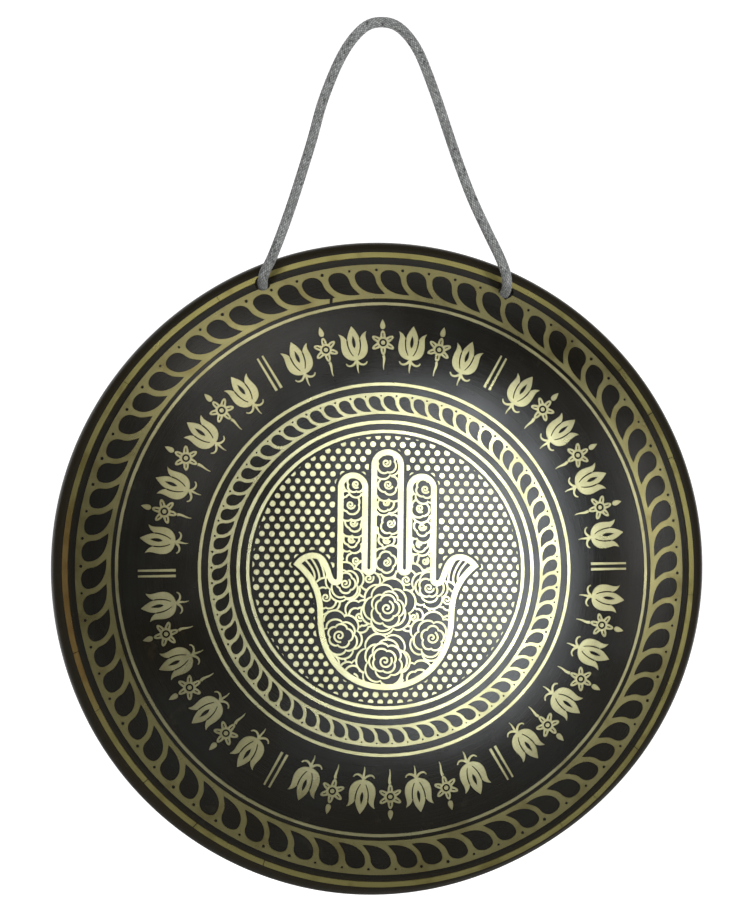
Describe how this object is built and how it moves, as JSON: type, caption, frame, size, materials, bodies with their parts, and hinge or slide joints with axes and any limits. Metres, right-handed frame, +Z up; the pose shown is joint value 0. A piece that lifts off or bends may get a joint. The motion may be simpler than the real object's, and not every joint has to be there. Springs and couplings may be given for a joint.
{
  "type": "tam tam gong",
  "caption": "Round spun-brass gong with a turned-back lip and a raised pattern of rings, leaf borders, frieze and open hand, hung on one braided cord",
  "frame": {"origin": "the point where a hook bears on the cord, on the inside of the loop's top", "axes": "+Z up; the gong's face looks along -Y; +X is to the right as seen from the front"},
  "size_m": [0.45, 0.0442, 0.6028],
  "materials": {
    "patina": "spun brass under a dark graphite patina, satin",
    "raised_brass": "bare brass, brushed in circles, slightly tarnished",
    "cord": "grey braided cord"
  },
  "bodies": {
    "cord": {"hanging_cord": "cord"},
    "gong": {"gong_disc": "patina", "outer_band": "raised_brass", "outer_leaf_border": "raised_brass", "fine_ring": "raised_brass", "frieze": "raised_brass", "inner_ring": "raised_brass", "inner_leaf_border": "raised_brass", "middle_ring": "raised_brass", "medallion_ring": "raised_brass", "hand_emblem": "raised_brass", "knot_left": "cord", "knot_right": "cord"}
  },
  "joints": [
    {"name": "gong_swing", "type": "hinge", "parent": "cord", "child": "gong", "pos_m": [0.00095, -0.0011, -0.178], "axis": [0.9998, 0, -0.0177], "range_deg": [-20, 20], "deforming": ["hanging_cord"]}
  ]
}
